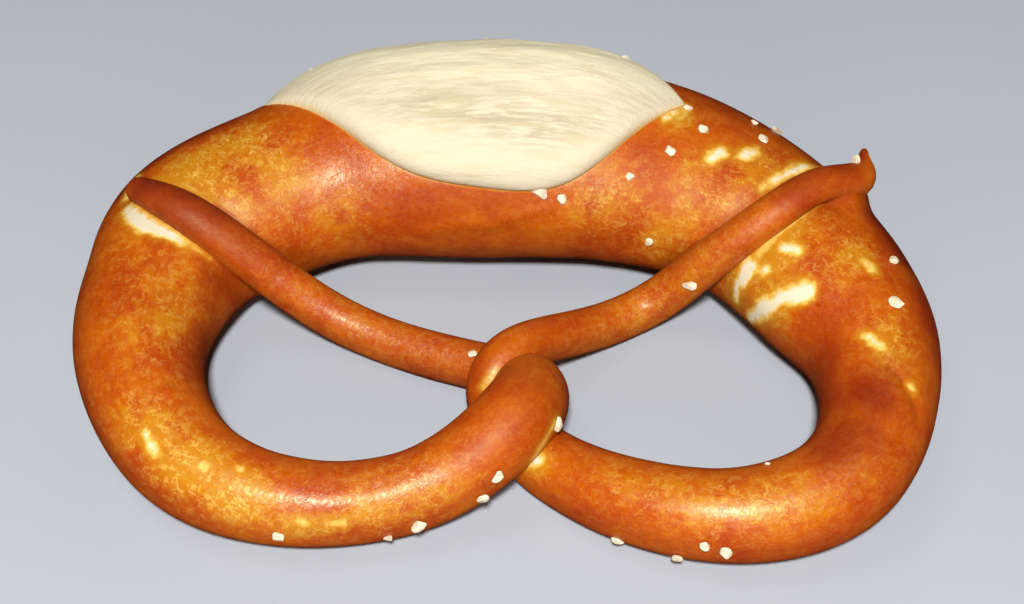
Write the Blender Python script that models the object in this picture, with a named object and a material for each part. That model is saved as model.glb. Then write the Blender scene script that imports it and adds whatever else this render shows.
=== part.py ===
"""A soft pretzel: one rope of dough, thick in the belly and thin in the arms, looped, twisted
once and laid back over its own shoulders, with the belly split open along its top.

Blender 4.5. Metres, +Z up. The pretzel lies flat on its underside, the belly at +Y and the
knot at -Y, and the origin is the bottom centre of its bounding box.
"""

import math

import bmesh
import bpy
import numpy as np
from mathutils import Vector

MM = 0.001

# The rope's route and girth, from the left tip to the right tip, in millimetres:
# plan position x and y, height of the rope's middle over the tray, width, and height.
ROUTE = (
    (-73.3, 16.8, 26.6, 5.4, 4.6),  # left tip, pressed on the shoulder's outer edge
    (-64.0, 10.0, 27.6, 8.0, 6.6),  # left arm on top of the shoulder
    (-53.0, 6.0, 20.5, 9.0, 8.2),  # left arm climbing the shoulder
    (-34.0, 0.7, 6.5, 8.8, 8.8),  # left arm, down on the tray
    (-14.0, -7.5, 4.5, 9.0, 9.0),  # left arm near the knot
    (-2.5, -12.8, 6.0, 10.0, 10.0),  # knot: under the right arm
    (3.2, -21.5, 10.5, 14.2, 13.6),  # knot: the left rope turns back
    (0.2, -33.0, 15.0, 15.2, 14.4),  # knot: over the right rope
    (-12.0, -41.4, 9.4, 14.9, 15.0),  # left rope out of the knot
    (-33.0, -46.3, 7.5, 15.2, 15.2),  # left loop, bottom
    (-58.3, -38.9, 9.2, 19.2, 18.6),  # left loop, corner
    (-71.0, -14.0, 11.6, 25.2, 23.4),  # left loop, side
    (-69.2, 4.0, 12.8, 30.4, 26.0),  # left loop, under the arm's end
    (-62.4, 18.2, 14.3, 36.8, 28.8),  # left shoulder
    (-45.9, 29.7, 15.2, 37.4, 31.0),  # waist where the split begins
    (-31.0, 35.0, 16.5, 40.2, 33.4),  # belly, left quarter
    (-7.0, 36.5, 17.6, 44.0, 36.0),  # belly, middle
    (26.0, 34.0, 16.4, 42.4, 33.5),  # belly, right quarter
    (51.7, 18.2, 14.5, 35.4, 29.8),  # right shoulder
    (63.0, 1.4, 13.2, 32.4, 27.0),  # right loop, under the arm
    (69.0, -14.0, 11.8, 25.6, 24.0),  # right loop, side
    (62.7, -39.7, 9.8, 19.4, 19.4),  # right loop, corner
    (41.0, -49.6, 8.4, 17.2, 17.2),  # right loop, bottom
    (19.0, -43.9, 7.1, 14.8, 14.8),  # right rope into the knot
    (3.8, -32.0, 5.6, 12.6, 11.8),  # knot: under the left rope
    (-3.9, -20.5, 9.0, 9.8, 9.8),  # knot: the right rope turns back
    (-0.6, -14.5, 12.6, 9.0, 9.0),  # knot: over the left rope
    (12.0, -4.2, 7.6, 8.8, 8.8),  # right arm out of the knot
    (27.0, 5.8, 5.0, 8.8, 8.8),  # right arm, down on the tray
    (39.5, 6.3, 18.2, 8.4, 8.2),  # right arm climbing the shoulder
    (51.5, 9.4, 28.2, 7.8, 6.6),  # right arm on top of the shoulder
    (61.0, 15.6, 29.2, 7.2, 6.0),  # right arm over the shoulder's outer edge
    (68.6, 20.6, 26.2, 6.8, 6.4),  # right arm, hanging over
    (70.0, 25.0, 27.8, 3.6, 3.4),  # right tip, curled up and out
)

SIDES = 24  # corners of one section of the rope
RING_SPACING = 0.2  # distance between sections, as a share of the rope's width
MIN_SPACING = 2.0
SAG = 1.25  # how much the lower half of a section is squared off by lying on the tray
DOME_STEPS = 3  # extra sections that round off a tip

# The split along the belly. Angles are round the rope, from straight up towards the back.
SPLIT_MIDDLE_X = -7.1
SPLIT_HALF_LENGTH = 37.8
SPLIT_FRONT_POINTEDNESS = 2.9  # 2 gives a lens's edge, more gives blunter ends
SPLIT_BACK_POINTEDNESS = 4.5
SPLIT_END_ANGLE = (44, 21)  # at the left end and at the right end
SPLIT_FRONT_ANGLE = -60
SPLIT_BACK_ANGLE = 54
SPLIT_SECTIONS = 28
SPLIT_SIDES = 22
SPLIT_REACH = 0.995  # how near the split's ends the first and last sections lie
CRUMB_RISE = 5.2  # how far the crumb swells out of the split
EDGE_SUNK = 0.8  # how deep the crumb starts under the crust's edge
CRUMB_SUNK = 2.5  # how deep the rest of the crumb's solid lies under the crust
UNDER_SIDES = 12
VALLEY_DEPTH = 1.4  # the fold where the two cut faces meet
VALLEY_PLACE = 0.40  # share of the way from the front edge to the back edge
VALLEY_WIDTH = 0.13

TRAY_FACE = 0.3  # height of the tray's face: all below it is pressed flat
CRUST_COLOUR = (0.47, 0.13, 0.02, 1)


def spline(knots, values, at):
    """A natural cubic spline through values at knots, read at the given places."""
    gaps = np.diff(knots)
    count = len(knots)
    system = np.eye(count)
    slopes = np.zeros((count, values.shape[1]))
    for i in range(1, count - 1):
        system[i, i - 1 : i + 2] = gaps[i - 1], 2 * (gaps[i - 1] + gaps[i]), gaps[i]
        rise = np.diff(values[i - 1 : i + 2], axis=0) / gaps[i - 1 : i + 1, None]
        slopes[i] = 6 * (rise[1] - rise[0])
    bend = np.linalg.solve(system, slopes)
    i = np.clip(np.searchsorted(knots, at) - 1, 0, count - 2)
    width = gaps[i][:, None]
    left = (knots[i + 1] - at)[:, None]
    right = (at - knots[i])[:, None]
    return (
        (bend[i] * left**3 + bend[i + 1] * right**3) / (6 * width)
        + (values[i] / width - bend[i] * width / 6) * left
        + (values[i + 1] / width - bend[i + 1] * width / 6) * right
    )


def rope_line():
    """The whole rope as closely spaced rows like those of ROUTE, and the travel along it."""
    route = np.array(ROUTE)
    steps = np.linalg.norm(np.diff(route[:, :3], axis=0), axis=1)
    knots = np.concatenate([[0], np.cumsum(np.sqrt(steps))])
    fine = spline(knots, route, np.linspace(0, knots[-1], 4000))
    travel = np.concatenate([[0], np.cumsum(np.linalg.norm(np.diff(fine[:, :3], axis=0), axis=1))])
    return fine, travel


def sections_at(fine, travel, wanted):
    """Sections of the rope: middle, forward, sideways and upward directions, width, height."""
    made = []
    for place in wanted:
        row, before, after = (
            [np.interp(place + shift, travel, fine[:, c]) for c in range(5)] for shift in (0, -0.5, 0.5)
        )
        forward = (Vector(after[:3]) - Vector(before[:3])).normalized()
        side = forward.cross(Vector((0, 0, 1))).normalized()
        made.append((Vector(row[:3]), forward, side, side.cross(forward), row[3], row[4]))
    return made


def with_domes(sections):
    """The sections with both ends rounded off."""
    first, last = sections[0], sections[-1]
    turns = [math.pi / 2 * k / (DOME_STEPS + 1) for k in range(1, DOME_STEPS + 1)]

    def dome(section, way):
        middle, forward, side, up, width, height = section
        return [
            (middle + forward * way * math.sin(t) * height / 2, forward, side, up)
            + (width * math.cos(t), height * math.cos(t))
            for t in turns
        ]

    return dome(first, -1)[::-1] + sections + dome(last, 1)


def outline_point(section, angle, out=0.0):
    """A point of a section, at an angle from straight up towards the right-hand side."""
    middle, _, side, up, width, height = section
    across, rise = math.sin(angle), math.cos(angle)
    if rise < 0:
        rise = -(abs(rise) ** (1 / SAG))
    return middle + side * across * (width / 2 + out) + up * rise * (height / 2 + out)


def skin(name, rings):
    """A closed tube through rings of points, as an object."""
    mesh = bmesh.new()
    loops = [[mesh.verts.new(p * MM) for p in ring] for ring in rings]
    for near, far in zip(loops, loops[1:]):
        for k, corner in enumerate(near):
            following = (k + 1) % len(near)
            mesh.faces.new((corner, near[following], far[following], far[k]))
    mesh.faces.new(loops[0])
    mesh.faces.new(reversed(loops[-1]))
    bmesh.ops.recalc_face_normals(mesh, faces=mesh.faces)
    data = bpy.data.meshes.new(name)
    mesh.to_mesh(data)
    mesh.free()
    made = bpy.data.objects.new(name, data)
    bpy.context.scene.collection.objects.link(made)
    return made


def rope(fine, travel):
    spacing = np.maximum(MIN_SPACING, RING_SPACING * fine[:, 3])
    order = np.concatenate([[0], np.cumsum(np.diff(travel) / spacing[1:])])
    count = int(round(order[-1]))
    wanted = np.interp(np.linspace(0, order[-1], count + 1), order, travel)
    rings = [
        [outline_point(section, 2 * math.pi * k / SIDES) for k in range(SIDES)]
        for section in with_domes(sections_at(fine, travel, wanted))
    ]
    return skin("pretzel", rings)


def split_edges(u):
    """Angles of the split's front and back edge, u from -1 at its left end to 1 at its right."""
    left, right = SPLIT_END_ANGLE
    closed = (left + right) / 2 + u * (right - left) / 2
    middle = (left + right) / 2
    front = closed + (SPLIT_FRONT_ANGLE - middle) * (1 - abs(u) ** SPLIT_FRONT_POINTEDNESS)
    back = closed + (SPLIT_BACK_ANGLE - middle) * (1 - abs(u) ** SPLIT_BACK_POINTEDNESS)
    return math.radians(front), math.radians(back)


def crumb_section(section, u):
    """One section of the crumb: swollen between the split's edges, sunk under the crust elsewhere."""
    front, back = split_edges(u)
    ring = []
    for k in range(SPLIT_SIDES + 1):
        share = (1 - math.cos(math.pi * k / SPLIT_SIDES)) / 2
        swell = CRUMB_RISE * math.sqrt(1 - (2 * share - 1) ** 6)
        fold = VALLEY_DEPTH * math.exp(-(((share - VALLEY_PLACE) / VALLEY_WIDTH) ** 2))
        rise = (swell - fold) * (1 - abs(u) ** 5) - EDGE_SUNK
        ring.append(outline_point(section, -front - (back - front) * share, rise))
    for k in range(1, UNDER_SIDES):
        share = k / UNDER_SIDES
        ring.append(outline_point(section, -back - (2 * math.pi - back + front) * share, -CRUMB_SUNK))
    return ring


def crumb(fine, travel):
    """The crumb that swells out of the split, as a solid that the rope swallows elsewhere."""
    belly = fine[:, 1] > 15
    us = [SPLIT_REACH * math.sin(math.pi / 2 * (2 * k / SPLIT_SECTIONS - 1)) for k in range(SPLIT_SECTIONS + 1)]
    places = [np.interp(SPLIT_MIDDLE_X + u * SPLIT_HALF_LENGTH, fine[belly, 0], travel[belly]) for u in us]
    return skin("crumb", [crumb_section(s, u) for s, u in zip(sections_at(fine, travel, places), us)])


def tray():
    """The solid under the tray's face, which presses the pretzel's underside flat."""
    mesh = bmesh.new()
    bmesh.ops.create_cube(mesh, size=1)
    data = bpy.data.meshes.new("tray")
    mesh.to_mesh(data)
    mesh.free()
    made = bpy.data.objects.new("tray", data)
    made.scale = (0.3, 0.3, 0.1)
    made.location.z = TRAY_FACE * MM - 0.05
    bpy.context.scene.collection.objects.link(made)
    return made


def join(body, other, operation):
    """Unite the body with another solid, or cut the other away, and drop the other."""
    step = body.modifiers.new(other.name, "BOOLEAN")
    step.operation = operation
    step.solver = "EXACT"
    step.use_self = operation == "UNION"
    step.object = other
    bpy.context.view_layer.update()
    done = bpy.data.meshes.new_from_object(body.evaluated_get(bpy.context.evaluated_depsgraph_get()))
    body.modifiers.remove(step)
    body.data = done
    bpy.data.objects.remove(other)


def centre(body):
    """Put the origin at the bottom centre of the bounding box."""
    corners = np.empty(len(body.data.vertices) * 3)
    body.data.vertices.foreach_get("co", corners)
    corners = corners.reshape(-1, 3)
    low, high = corners.min(axis=0), corners.max(axis=0)
    corners -= (low[0] / 2 + high[0] / 2, low[1] / 2 + high[1] / 2, low[2])
    body.data.vertices.foreach_set("co", corners.ravel())
    body.data.update()
    print("size in mm:", np.round((high - low) / MM, 2))
    print("moved by, in mm:", np.round((low / 2 + high / 2) / MM, 3)[:2], round(low[2] / MM, 3))


def crust():
    material = bpy.data.materials.new("crust")
    material.use_nodes = True
    shader = material.node_tree.nodes["Principled BSDF"]
    shader.inputs["Base Color"].default_value = CRUST_COLOUR
    shader.inputs["Roughness"].default_value = 0.38
    shader.inputs["Metallic"].default_value = 0.0
    return material


def main():
    for old in list(bpy.data.objects):
        bpy.data.objects.remove(old)
    fine, travel = rope_line()
    body = rope(fine, travel)
    join(body, crumb(fine, travel), "UNION")
    join(body, tray(), "DIFFERENCE")
    centre(body)
    body.data.materials.clear()
    body.data.materials.append(crust())
    print("triangles:", sum(len(face.vertices) - 2 for face in body.data.polygons))


main()
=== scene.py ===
# %% [markdown]
# # A soft pretzel
# A soft pretzel is one rope of dough. It is rolled thick in the middle and thin at both ends,
# looped, twisted once, and its two thin arms are laid back over the thick part. Before baking it is
# dipped in lye, which browns the crust, salted, and cut along the belly, so that the crumb swells
# out of the split. This lesson dresses the pretzel's plain solid with that crust, crumb and salt.
# The solid comes from the frame, in metres, and the three new pieces lie exactly over it.

# %% Load the frame
import math
import random

import bmesh
import bpy
import numpy as np
from mathutils import Matrix, Vector, noise


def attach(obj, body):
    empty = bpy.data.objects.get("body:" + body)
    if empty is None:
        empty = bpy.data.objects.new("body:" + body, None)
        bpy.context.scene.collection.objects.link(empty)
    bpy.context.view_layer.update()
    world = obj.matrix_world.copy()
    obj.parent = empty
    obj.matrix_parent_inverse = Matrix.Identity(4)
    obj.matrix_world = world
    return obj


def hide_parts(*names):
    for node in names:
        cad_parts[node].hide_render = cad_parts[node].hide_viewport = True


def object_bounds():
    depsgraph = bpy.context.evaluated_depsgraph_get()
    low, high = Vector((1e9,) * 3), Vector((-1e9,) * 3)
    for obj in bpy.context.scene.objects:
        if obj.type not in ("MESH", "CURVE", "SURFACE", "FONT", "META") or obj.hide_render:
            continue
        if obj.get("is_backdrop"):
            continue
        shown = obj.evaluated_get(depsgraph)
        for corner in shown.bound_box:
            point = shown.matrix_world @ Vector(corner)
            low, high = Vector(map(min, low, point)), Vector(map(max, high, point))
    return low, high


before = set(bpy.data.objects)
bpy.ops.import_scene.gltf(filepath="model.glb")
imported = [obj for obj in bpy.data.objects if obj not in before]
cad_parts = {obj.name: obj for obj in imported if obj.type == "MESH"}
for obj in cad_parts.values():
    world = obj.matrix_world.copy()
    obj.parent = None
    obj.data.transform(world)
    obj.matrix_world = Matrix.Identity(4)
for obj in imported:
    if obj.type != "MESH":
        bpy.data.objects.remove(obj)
cad_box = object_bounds()
MM = 0.001

# %% [markdown]
# ## Camera and light
# The pretzel is seen from the knot's side, from a bit above half-way up. A sun lamp would give
# hard shadows, so the light comes from panels. The main one is just above the camera, so that the
# strands shine along their ridges and fall off to their sides. A wide card low in front lightens
# their lower flanks, weak panels above and behind do the same for the other side, and a faint
# light from all round keeps the undersides open. Only the main panel is mirrored in the crust, so
# that each strand carries one line of highlights.

# %% Camera
VIEW_HEIGHT = math.radians(46)
VIEW_DISTANCE = 390 * MM
VIEW_CENTRE = Vector((1.5, -0.3, 11.7)) * MM
towards_camera = Vector((0, -math.cos(VIEW_HEIGHT), math.sin(VIEW_HEIGHT)))


def aim(thing, place, at):
    """Put a camera or a light at a place and point it."""
    thing.location = place
    thing.rotation_mode = "QUATERNION"
    thing.rotation_quaternion = (at - place).to_track_quat("-Z", "Y")


def stand(name, data):
    """A new object in the scene, at the origin."""
    thing = bpy.data.objects.new(name, data)
    bpy.context.scene.collection.objects.link(thing)
    return thing


camera = stand("camera", bpy.data.cameras.new("camera"))
camera.data.lens = 70
camera.data.sensor_width = 36
camera.data.clip_start = 0.01
aim(camera, VIEW_CENTRE + towards_camera * VIEW_DISTANCE, VIEW_CENTRE)
bpy.context.scene.camera = camera
bpy.context.scene.view_settings.view_transform = "Standard"
print("camera at", tuple(round(v, 3) for v in camera.location))

# %% Light


def panel(name, place, size, watts, mirrored=False):
    """A square soft light, aimed at the pretzel. Only a mirrored one leaves a highlight on it."""
    light = stand(name, bpy.data.lights.new(name, "AREA"))
    light.data.shape = "SQUARE"
    light.data.size = size
    light.data.energy = watts
    light.visible_glossy = mirrored
    light.visible_camera = False
    aim(light, Vector(place), VIEW_CENTRE)


panel("main panel", place=(-0.01, -0.50, 0.73), size=0.10, watts=14.2, mirrored=True)
panel("front card", place=(0.0, -0.60, 0.07), size=0.40, watts=2.6)
panel("top panel", place=(-0.30, 0.10, 0.85), size=0.30, watts=1.0)
panel("back panel", place=(0.10, 0.75, 0.45), size=0.40, watts=1.2)
surroundings = bpy.data.worlds.new("surroundings")
surroundings.use_nodes = True
background = surroundings.node_tree.nodes["Background"]
background.inputs["Color"].default_value = (0.95, 0.97, 1, 1)
background.inputs["Strength"].default_value = 0.06
bpy.context.scene.world = surroundings
surroundings.cycles_visibility.glossy = False
print("panels:", [light.name for light in bpy.data.lights])

# %% [markdown]
# ## Shader sums as plain sums
# A crust is many thin effects added up. Its material could be wired by hand in the shader editor,
# but a tree that large is hard to read. Here a small class wraps a socket, so that adding or
# multiplying two of them in Python adds the node that does it. Any other node comes from one
# method, which sets the node up first and then links or fills its sockets. Paints are laid over
# each other one by one, as on a real object.

# %% Sums of sockets


class Level:
    """What one socket gives: a number that varies over the surface, or a colour or a direction."""

    def __init__(self, finish, socket):
        self.finish = finish
        self.socket = socket

    def worked_out(self, operation, *values):
        return self.finish.node("ShaderNodeMath", {"operation": operation}, dict(enumerate(values)))

    def __add__(self, other):
        return self.worked_out("ADD", self, other)

    def __sub__(self, other):
        return self.worked_out("SUBTRACT", self, other)

    def __rsub__(self, other):
        return self.worked_out("SUBTRACT", other, self)

    def __mul__(self, other):
        return self.worked_out("MULTIPLY", self, other)

    def size(self):
        """The number without its sign."""
        return self.worked_out("ABSOLUTE", self)

    __radd__ = __add__
    __rmul__ = __mul__

    def between(self, low, high):
        """0 below low, 1 above high, and a smooth step in between."""
        return self.finish.node(
            "ShaderNodeMapRange",
            {"interpolation_type": "SMOOTHSTEP"},
            {"Value": self, "From Min": low, "From Max": high},
        )


# %% Finishes


class Finish:
    """A material with its colour so far, and the ways its nodes are made."""

    def __init__(self, name, colour):
        self.material = bpy.data.materials.new(name)
        self.material.use_nodes = True
        self.tree = self.material.node_tree
        self.shader = self.tree.nodes["Principled BSDF"]
        self.colour = colour

    def fill(self, socket, value):
        """Link a socket to a level, or set it to a number or a colour."""
        if isinstance(value, Level):
            self.tree.links.new(value.socket, socket)
        elif isinstance(value, tuple):
            socket.default_value = value + (1,) * (len(socket.default_value) - len(value))
        else:
            socket.default_value = value

    def node(self, kind, settings=None, values=None, out=0):
        """A node of this kind with its settings, then its sockets' values, read at one output."""
        made = self.tree.nodes.new(kind)
        for name, value in (settings or {}).items():
            setattr(made, name, value)
        for key, value in (values or {}).items():
            self.fill(made.inputs[key], value)
        return Level(self, made.outputs[out])

    def place(self):
        return self.node("ShaderNodeTexCoord", out="Object")

    def worked(self, name):
        """A number that the mesh carries on its vertices."""
        return self.node("ShaderNodeAttribute", {"attribute_name": name}, out="Fac")

    def grain(self, size, detail=4.0, where=None, rough=0.55, skew=0.0):
        """Cloudy noise, its clouds about this many millimetres across."""
        values = {
            "Vector": where or self.place(),
            "Scale": 1 / (size * MM),
            "Detail": detail,
            "Roughness": rough,
            "Distortion": skew,
        }
        return self.node("ShaderNodeTexNoise", None, values, out="Fac")

    def paint(self, colour, share):
        """Lay a colour over the one so far, by a share from 0 to 1."""
        share_socket, first_colour, second_colour = 0, 6, 7
        self.colour = self.node(
            "ShaderNodeMix",
            {"data_type": "RGBA"},
            {share_socket: share, first_colour: self.colour, second_colour: colour},
            out=2,
        )

    def relief(self, height, depth, below=None):
        """Surface relief: a height from 0 to 1 that stands this many millimetres deep."""
        values = {"Height": height, "Distance": depth * MM, "Strength": 1.0}
        if below is not None:
            values["Normal"] = below
        return self.node("ShaderNodeBump", None, values)

    def put_on(self, piece, **inputs):
        """Set the shader's sockets, then give the material to a piece."""
        for name, value in {"Base_Color": self.colour, **inputs}.items():
            self.fill(self.shader.inputs[name.replace("_", " ")], value)
        piece.data.materials.append(self.material)
        print(self.material.name, "has", len(self.tree.nodes), "nodes")


# %% Colours


def seen(red, green, blue):
    """A colour as a paint chart gives it, from 0 to 255, as light."""
    return tuple(
        (v / 12.92 if v <= 0.04045 else ((v + 0.055) / 1.055) ** 2.4)
        for v in (red / 255, green / 255, blue / 255)
    )


# %% [markdown]
# ## Table
# The table is a plain pale sheet, so a single square does. It is dull, and hidden from
# reflections: a mirror image of it would grey the glossy flanks, where the dark brown has to show.

# %% A pale sheet
TABLE_HALF_WIDTH = 3.0  # in metres
table_mesh = bmesh.new()
bmesh.ops.create_grid(table_mesh, x_segments=1, y_segments=1, size=TABLE_HALF_WIDTH)
table_data = bpy.data.meshes.new("table")
table_mesh.to_mesh(table_data)
table_mesh.free()
table = stand("table", table_data)
table.visible_glossy = False
table_finish = Finish("pale table", seen(149, 152, 157))
table_finish.put_on(table, Roughness=0.85, Specular_IOR_Level=0.2)
table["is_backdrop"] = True

# %% [markdown]
# ## The rope
# The dough is one rope, so its whole shape is a route with a width and a height at each place. It
# could be drawn as a curve object, but a curve has only one thickness at a place, and this rope is
# wider than it is high. So a smooth line through a few measured places gives all five numbers.
# They are the places of the solid, because the crust must cover it exactly. A point of the
# surface is then named by its travel along the rope, in millimetres from the left tip, and by its
# angle round it, in degrees from straight up, with the outside of the loops counted as positive.

# %% The rope's route
# In millimetres: x, y and height of the rope's middle, then the rope's width and height.
ROUTE = (
    (-73.3, 16.8, 26.6, 5.4, 4.6),  # left tip, pressed on the shoulder's outer edge
    (-64.0, 10.0, 27.6, 8.0, 6.6),  # left arm on top of the shoulder
    (-53.0, 6.0, 20.5, 9.0, 8.2),  # left arm climbing the shoulder
    (-34.0, 0.7, 6.5, 8.8, 8.8),  # left arm, down on the tray
    (-14.0, -7.5, 4.5, 9.0, 9.0),  # left arm near the knot
    (-2.5, -12.8, 6.0, 10.0, 10.0),  # knot: under the right arm
    (3.2, -21.5, 10.5, 14.2, 13.6),  # knot: the left rope turns back
    (0.2, -33.0, 15.0, 15.2, 14.4),  # knot: over the right rope
    (-12.0, -41.4, 9.4, 14.9, 15.0),  # left rope out of the knot
    (-33.0, -46.3, 7.5, 15.2, 15.2),  # left loop, bottom
    (-58.3, -38.9, 9.2, 19.2, 18.6),  # left loop, corner
    (-71.0, -14.0, 11.6, 25.2, 23.4),  # left loop, side
    (-69.2, 4.0, 12.8, 30.4, 26.0),  # left loop, under the arm's end
    (-62.4, 18.2, 14.3, 36.8, 28.8),  # left shoulder
    (-45.9, 29.7, 15.2, 37.4, 31.0),  # waist where the split begins
    (-31.0, 35.0, 16.5, 40.2, 33.4),  # belly, left quarter
    (-7.0, 36.5, 17.6, 44.0, 36.0),  # belly, middle
    (26.0, 34.0, 16.4, 42.4, 33.5),  # belly, right quarter
    (51.7, 18.2, 14.5, 35.4, 29.8),  # right shoulder
    (63.0, 1.4, 13.2, 32.4, 27.0),  # right loop, under the arm
    (69.0, -14.0, 11.8, 25.6, 24.0),  # right loop, side
    (62.7, -39.7, 9.8, 19.4, 19.4),  # right loop, corner
    (41.0, -49.6, 8.4, 17.2, 17.2),  # right loop, bottom
    (19.0, -43.9, 7.1, 14.8, 14.8),  # right rope into the knot
    (3.8, -32.0, 5.6, 12.6, 11.8),  # knot: under the left rope
    (-3.9, -20.5, 9.0, 9.8, 9.8),  # knot: the right rope turns back
    (-0.6, -14.5, 12.6, 9.0, 9.0),  # knot: over the left rope
    (12.0, -4.2, 7.6, 8.8, 8.8),  # right arm out of the knot
    (27.0, 5.8, 5.0, 8.8, 8.8),  # right arm, down on the tray
    (39.5, 6.3, 18.2, 8.4, 8.2),  # right arm climbing the shoulder
    (51.5, 9.4, 28.2, 7.8, 6.6),  # right arm on top of the shoulder
    (61.0, 15.6, 29.2, 7.2, 6.0),  # right arm over the shoulder's outer edge
    (68.6, 20.6, 26.2, 6.8, 6.4),  # right arm, hanging over
    (70.0, 25.0, 27.8, 3.6, 3.4),  # right tip, curled up and out
)
ROUTE_ORIGIN = np.array((-1.479, 0.325, 0.3))  # the middle of the solid's underside, on the tray
print("the route has", len(ROUTE), "places")

# %% A smooth line through the places
ROUTE_STEPS = 4000


def spline(knots, values, at):
    """A natural cubic spline through values at knots, read at the given places."""
    gaps = np.diff(knots)
    count = len(knots)
    system = np.eye(count)
    slopes = np.zeros((count, values.shape[1]))
    for i in range(1, count - 1):
        system[i, i - 1 : i + 2] = gaps[i - 1], 2 * (gaps[i - 1] + gaps[i]), gaps[i]
        rise = np.diff(values[i - 1 : i + 2], axis=0) / gaps[i - 1 : i + 1, None]
        slopes[i] = 6 * (rise[1] - rise[0])
    bend = np.linalg.solve(system, slopes)
    i = np.clip(np.searchsorted(knots, at) - 1, 0, count - 2)  # the gap that each place lies in
    width = gaps[i][:, None]
    left = (knots[i + 1] - at)[:, None]
    right = (at - knots[i])[:, None]
    return (
        (bend[i] * left**3 + bend[i + 1] * right**3) / (6 * width)
        + (values[i] / width - bend[i] * width / 6) * left
        + (values[i + 1] / width - bend[i + 1] * width / 6) * right
    )


def rope_line():
    """The rope as closely spaced rows like those of ROUTE, and the travel along it."""
    route = np.array(ROUTE)
    steps = np.linalg.norm(np.diff(route[:, :3], axis=0), axis=1)
    knots = np.concatenate([[0], np.cumsum(np.sqrt(steps))])
    fine = spline(knots, route, np.linspace(0, knots[-1], ROUTE_STEPS))
    gone = np.cumsum(np.linalg.norm(np.diff(fine[:, :3], axis=0), axis=1))
    return fine, np.concatenate([[0], gone])


line, line_travel = rope_line()
ROPE_LENGTH = line_travel[-1]
print("the rope is", round(ROPE_LENGTH), "mm long")

# %% A point on the dough
HALF_STEP = 0.5  # mm ahead and behind, to find the rope's direction
SAG = 1.25  # 1 is an even oval: more makes the rope's lower half fuller


def unit(vectors):
    """The same directions, one long."""
    return vectors / np.linalg.norm(vectors, axis=-1, keepdims=True)


def rope_at(travel):
    """Middles, outward and upward directions, half widths and half heights at these travels."""
    inside = np.clip(travel, 0, ROPE_LENGTH)

    def rows(shift):
        return np.stack([np.interp(inside + shift, line_travel, line[:, c]) for c in range(5)], axis=1)

    row = rows(0)
    forward = unit((rows(HALF_STEP) - rows(-HALF_STEP))[:, :3])
    outward = unit(np.cross((0, 0, 1), forward))
    beyond = travel - inside  # the tips end in half balls
    roundness = np.sqrt(np.maximum(0, 1 - (2 * beyond / row[:, 4]) ** 2))
    middle = row[:, :3] + forward * beyond[:, None]
    half_width, half_height = row[:, 3] / 2 * roundness, row[:, 4] / 2 * roundness
    return middle, outward, np.cross(forward, outward), half_width, half_height


def skin(travel, angle, out=0.0):
    """Points on the dough in metres: angle is in radians from straight up, out in millimetres."""
    middle, outward, up, half_width, half_height = rope_at(travel)
    rise = np.cos(angle)
    rise = np.where(rise < 0, -(np.abs(rise) ** (1 / SAG)), rise)
    sideways = outward * (np.sin(angle) * (half_width + out))[:, None]
    upwards = up * (rise * (half_height + out))[:, None]
    points = middle + sideways + upwards - ROUTE_ORIGIN
    points[:, 2] = np.maximum(points[:, 2], 0)  # pressed flat by the tray
    return points * MM


def straightened(travel, angle):
    """The same points as if the rope lay straight, so that a pattern can follow the dough."""
    _, _, _, half_width, half_height = rope_at(travel)
    return np.stack([travel, half_width * np.sin(angle), half_height * np.cos(angle)], axis=1) * MM


print("the left tip's top is at", skin(np.zeros(1), np.zeros(1))[0].round(4))

# %% [markdown]
# ## From a flat grid to a skin
# Both the crust and the crumb are skins wrapped round the rope. A tube could be drawn out ring by
# ring, but a flat grid is made by one operator, and each of its vertices knows how far along and
# across it lies. So both start as a flat grid. Its two directions become travel and angle, its
# long edges are welded into a seam, and its short edges close into a point. Numpy moves all the
# vertices at once, which a loop in Python would do slowly.

# %% Wrapping
WELD = 1e-7
SLIVER = 1e-8


def flat_grid(name, columns, rows):
    """A grid as a new piece, and the share along and across it of each vertex, from 0 to 1."""
    made = bmesh.new()
    bmesh.ops.create_grid(made, x_segments=columns, y_segments=rows, size=0.5)
    data = bpy.data.meshes.new(name)
    made.to_mesh(data)
    made.free()
    places = np.empty(len(data.vertices) * 3)
    data.vertices.foreach_get("co", places)
    places = places.reshape(-1, 3)
    return stand(name, data), places[:, 0] + 0.5, places[:, 1] + 0.5


def close(piece, points):
    """Move a piece's vertices, weld what meets, and turn every face outwards."""
    piece.data.vertices.foreach_set("co", points.ravel())
    made = bmesh.new()
    made.from_mesh(piece.data)
    bmesh.ops.remove_doubles(made, verts=made.verts, dist=WELD)
    bmesh.ops.dissolve_degenerate(made, edges=made.edges, dist=SLIVER)
    bmesh.ops.recalc_face_normals(made, faces=made.faces)
    for face in made.faces:
        face.smooth = True
    open_edges = sum(not edge.is_manifold for edge in made.edges)
    made.to_mesh(piece.data)
    made.free()
    print(piece.name, len(piece.data.polygons), "faces,", open_edges, "open edges")


# %% Numbers on the vertices
NOISE_STEPS = (7.3, 3.1, 5.7)  # how far one seed's noise lies from the next


def work_in(piece, name, values):
    """Give each vertex of a piece a number, or a vector, that its finish can read."""
    kind, key = ("FLOAT", "value") if values.ndim == 1 else ("FLOAT_VECTOR", "vector")
    layer = piece.data.attributes.new(name, kind, "POINT")
    layer.data.foreach_set(key, values.astype(np.float32).ravel())


def lumps(places, size, seed):
    """Smooth noise at these places, from about -1 to 1, its lumps this many millimetres across."""
    shift = Vector([seed * step for step in NOISE_STEPS])
    scale = 1 / (size * MM)
    return np.array([noise.noise(Vector(p) * scale + shift) for p in places])


def ramp(values, start, length):
    """0 up to start, 1 from start + length on, and a straight rise between."""
    return np.clip((values - start) / length, 0, 1)


def hump(values, reach, power=2):
    """1 at 0, falling softly to almost nothing at about twice the reach."""
    return np.exp(-((values / reach) ** power))


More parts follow.
